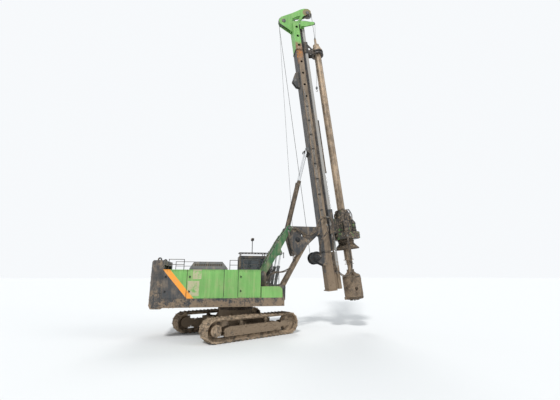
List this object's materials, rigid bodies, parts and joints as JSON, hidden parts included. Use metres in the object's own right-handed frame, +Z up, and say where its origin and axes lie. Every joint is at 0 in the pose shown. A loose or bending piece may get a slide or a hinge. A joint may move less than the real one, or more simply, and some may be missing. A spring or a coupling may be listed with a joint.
{
  "type": "rotary piling rig",
  "caption": "Crawler rotary drilling rig: slewing deck with cab, linkage-held mast, crowd carriage with rotary drive, keyed telescopic kelly bar and drilling bucket.",
  "frame": {"origin": "on the ground under the slew axis, between the tracks", "axes": "+X towards the mast along the superstructure, +Y to the rig's left (cab side), +Z up"},
  "size_m": [11.281, 5.9398, 20.8394],
  "materials": {
    "green_paint": "faded light green paint with dust",
    "dark_green_paint": "weathered dark green paint",
    "dark_grey_paint": "dark grey paint with dried mud",
    "mid_grey_paint": "grey paint",
    "black_paint": "black paint",
    "weathered_brown": "paint worn to brown, rust and mud",
    "muddy_steel": "steel under dried mud",
    "kelly_steel": "bare steel, dusty",
    "track_steel": "worn track steel with mud",
    "chrome_rod": "chrome plated",
    "cab_glazing": "tinted glass",
    "seat_cover": "dark seat cover",
    "drum_black": "black winch with rope",
    "hose_rubber": "dusty black hose rubber"
  },
  "bodies": {
    "undercarriage": {"car_body": "dark_grey_paint", "track_frame_right": "dark_grey_paint", "track_frame_left": "dark_grey_paint", "track_right": "track_steel", "track_left": "track_steel", "sprockets": "track_steel", "idlers": "track_steel", "track_rollers": "track_steel", "slew_ring": "muddy_steel"},
    "superstructure": {"deck": "dark_grey_paint", "counterweight": "dark_grey_paint", "engine": "mid_grey_paint", "house_shell": "green_paint", "front_box": "green_paint", "cab_shell": "dark_grey_paint", "cab_glass": "cab_glazing", "cab_guard": "black_paint", "cab_seat": "seat_cover", "handrails": "black_paint", "beacon_post": "black_paint", "boom_hose": "hose_rubber"},
    "door_right_rear": {"door_right_rear": "green_paint"},
    "door_right_mid": {"door_right_mid": "green_paint"},
    "door_right_front": {"door_right_front": "green_paint"},
    "door_left_rear": {"door_left_rear": "green_paint"},
    "door_left_mid": {"door_left_mid": "green_paint"},
    "engine_hood": {"engine_hood": "mid_grey_paint"},
    "cab_door": {"cab_door": "dark_grey_paint", "cab_door_glass": "cab_glazing"},
    "boom": {"boom": "dark_green_paint"},
    "support_rods": {"support_rods": "weathered_brown"},
    "link_frame": {"link_frame": "dark_grey_paint", "frame_hose": "hose_rubber"},
    "luff_barrels": {"luff_barrels": "mid_grey_paint"},
    "luff_rods": {"luff_rods": "chrome_rod"},
    "ram_barrels": {"ram_barrels": "muddy_steel"},
    "ram_rods": {"ram_rods": "chrome_rod"},
    "mast": {"mast_lower": "weathered_brown", "mast_main": "weathered_brown", "mast_top": "green_paint", "mast_head": "green_paint", "crowd_barrel": "muddy_steel", "drive_hose": "hose_rubber", "winch_hose": "hose_rubber"},
    "main_winch_drum": {"main_winch_drum": "drum_black"},
    "aux_winch_drum": {"aux_winch_drum": "drum_black"},
    "rear_sheaves": {"rear_sheaves": "mid_grey_paint"},
    "front_sheave": {"front_sheave": "mid_grey_paint"},
    "crowd": {"crowd_carriage": "dark_grey_paint", "rotary_drive": "muddy_steel", "crowd_rod": "chrome_rod"},
    "drive_sleeve": {"drive_sleeve": "muddy_steel"},
    "kelly_guide": {"kelly_guide": "black_paint"},
    "kelly_outer": {"kelly_outer": "kelly_steel"},
    "kelly_inner": {"kelly_inner": "kelly_steel", "bucket": "weathered_brown"},
    "bucket_flap": {"bucket_flap": "muddy_steel"}
  },
  "joints": [
    {"name": "slew", "type": "hinge", "parent": "undercarriage", "child": "superstructure", "pos_m": [0, 0, 1.4], "axis": [0, 0, 1], "continuous": true},
    {"name": "door_right_rear_hinge", "type": "hinge", "parent": "superstructure", "child": "door_right_rear", "pos_m": [-2.42, -1.507, 2.4], "axis": [0, 0, 1], "range_deg": [0, 100]},
    {"name": "door_right_mid_hinge", "type": "hinge", "parent": "superstructure", "child": "door_right_mid", "pos_m": [-0.69, -1.507, 2.4], "axis": [0, 0, 1], "range_deg": [0, 100]},
    {"name": "door_right_front_hinge", "type": "hinge", "parent": "superstructure", "child": "door_right_front", "pos_m": [1.11, -1.507, 2.4], "axis": [0, 0, 1], "range_deg": [0, 100]},
    {"name": "door_left_rear_hinge", "type": "hinge", "parent": "superstructure", "child": "door_left_rear", "pos_m": [-2.01, 1.507, 2.4], "axis": [0, 0, -1], "range_deg": [0, 100]},
    {"name": "door_left_mid_hinge", "type": "hinge", "parent": "superstructure", "child": "door_left_mid", "pos_m": [-0.51, 1.507, 2.4], "axis": [0, 0, -1], "range_deg": [0, 100]},
    {"name": "engine_hood_hinge", "type": "hinge", "parent": "superstructure", "child": "engine_hood", "pos_m": [-1.45, 0.661, 3.144], "axis": [-1, 0, 0], "range_deg": [0, 55]},
    {"name": "cab_door_hinge", "type": "hinge", "parent": "superstructure", "child": "cab_door", "pos_m": [0.89, 1.73, 3], "axis": [0, 0, 1], "range_deg": [0, 140]},
    {"name": "luff", "type": "hinge", "parent": "superstructure", "child": "boom", "pos_m": [1.33, 0, 2.91], "axis": [0, -1, 0], "range_deg": [-22, 12]},
    {"name": "link_frame_hinge", "type": "hinge", "parent": "boom", "child": "link_frame", "pos_m": [2.77937, 0, 5.41029], "axis": [0, -1, 0], "range_deg": [-12, 22]},
    {"name": "support_rod_hinge", "type": "hinge", "parent": "superstructure", "child": "support_rods", "pos_m": [2.45, 0, 2.25], "axis": [0, -1, 0], "range_deg": [-22, 12]},
    {"name": "luff_barrel_hinge", "type": "hinge", "parent": "superstructure", "child": "luff_barrels", "pos_m": [1.95, 0, 2.05], "axis": [0, -1, 0], "range_deg": [-14.42, 7.86]},
    {"name": "luff_rod_slide", "type": "slide", "parent": "luff_barrels", "child": "luff_rods", "axis": [0.1781, 0, 0.984], "range_m": [-0.31332, 0.1709]},
    {"name": "mast_tilt", "type": "hinge", "parent": "link_frame", "child": "mast", "pos_m": [4.54, 0, 5.37], "axis": [0, -1, 0], "range_deg": [-11.3, 8.7]},
    {"name": "ram_barrel_hinge", "type": "hinge", "parent": "link_frame", "child": "ram_barrels", "pos_m": [2.77937, 0, 5.41029], "axis": [0, -1, 0], "range_deg": [-10.57, 8.14]},
    {"name": "ram_rod_slide", "type": "slide", "parent": "ram_barrels", "child": "ram_rods", "axis": [0.2414, 0, 0.9704], "range_m": [-0.2633, 0.34198]},
    {"name": "main_winch", "type": "hinge", "parent": "mast", "child": "main_winch_drum", "pos_m": [4.4097, 0, 3.81632], "axis": [0, 1, 0], "continuous": true},
    {"name": "aux_winch", "type": "hinge", "parent": "link_frame", "child": "aux_winch_drum", "pos_m": [3.3, 0, 4.79], "axis": [0, 1, 0], "continuous": true},
    {"name": "rear_sheaves_spin", "type": "hinge", "parent": "mast", "child": "rear_sheaves", "pos_m": [2.60413, 0, 19.5331], "axis": [0, 1, 0], "continuous": true},
    {"name": "front_sheave_spin", "type": "hinge", "parent": "mast", "child": "front_sheave", "pos_m": [4.28094, 0, 20.4929], "axis": [0, 1, 0], "continuous": true},
    {"name": "crowd", "type": "slide", "parent": "mast", "child": "crowd", "axis": [-0.1097, 0, 0.994], "range_m": [-1, 2.1]},
    {"name": "hoist", "type": "slide", "parent": "mast", "child": "kelly_guide", "axis": [-0.1097, 0, 0.994], "range_m": [-6, 0.2]},
    {"name": "kelly_spin", "type": "hinge", "parent": "kelly_guide", "child": "kelly_outer", "pos_m": [6.24961, 0, 5.55874], "axis": [-0.1097, 0, 0.994], "continuous": true},
    {"name": "sleeve_spin", "type": "hinge", "parent": "crowd", "child": "drive_sleeve", "pos_m": [6.24961, 0, 5.55874], "axis": [-0.1097, 0, 0.994], "continuous": true},
    {"name": "kelly_telescope", "type": "slide", "parent": "kelly_outer", "child": "kelly_inner", "axis": [-0.1097, 0, 0.994], "range_m": [-5, 0]},
    {"name": "bucket_floor_hinge", "type": "hinge", "parent": "kelly_inner", "child": "bucket_flap", "pos_m": [6.1514, 0, 1.56384], "axis": [0, 1, 0], "range_deg": [0, 85]}
  ],
  "couplings": [
    {"joint": "link_frame_hinge", "follows": "luff", "ratio": -1},
    {"joint": "support_rod_hinge", "follows": "luff", "ratio": 1},
    {"joint": "luff_barrel_hinge", "follows": "luff", "ratio": 0.6425},
    {"joint": "luff_rod_slide", "follows": "luff", "m_per_rad": 0.8},
    {"joint": "ram_barrel_hinge", "follows": "mast_tilt", "ratio": 0.9175},
    {"joint": "ram_rod_slide", "follows": "mast_tilt", "m_per_rad": -1.7},
    {"joint": "sleeve_spin", "follows": "kelly_spin", "ratio": 1}
  ]
}
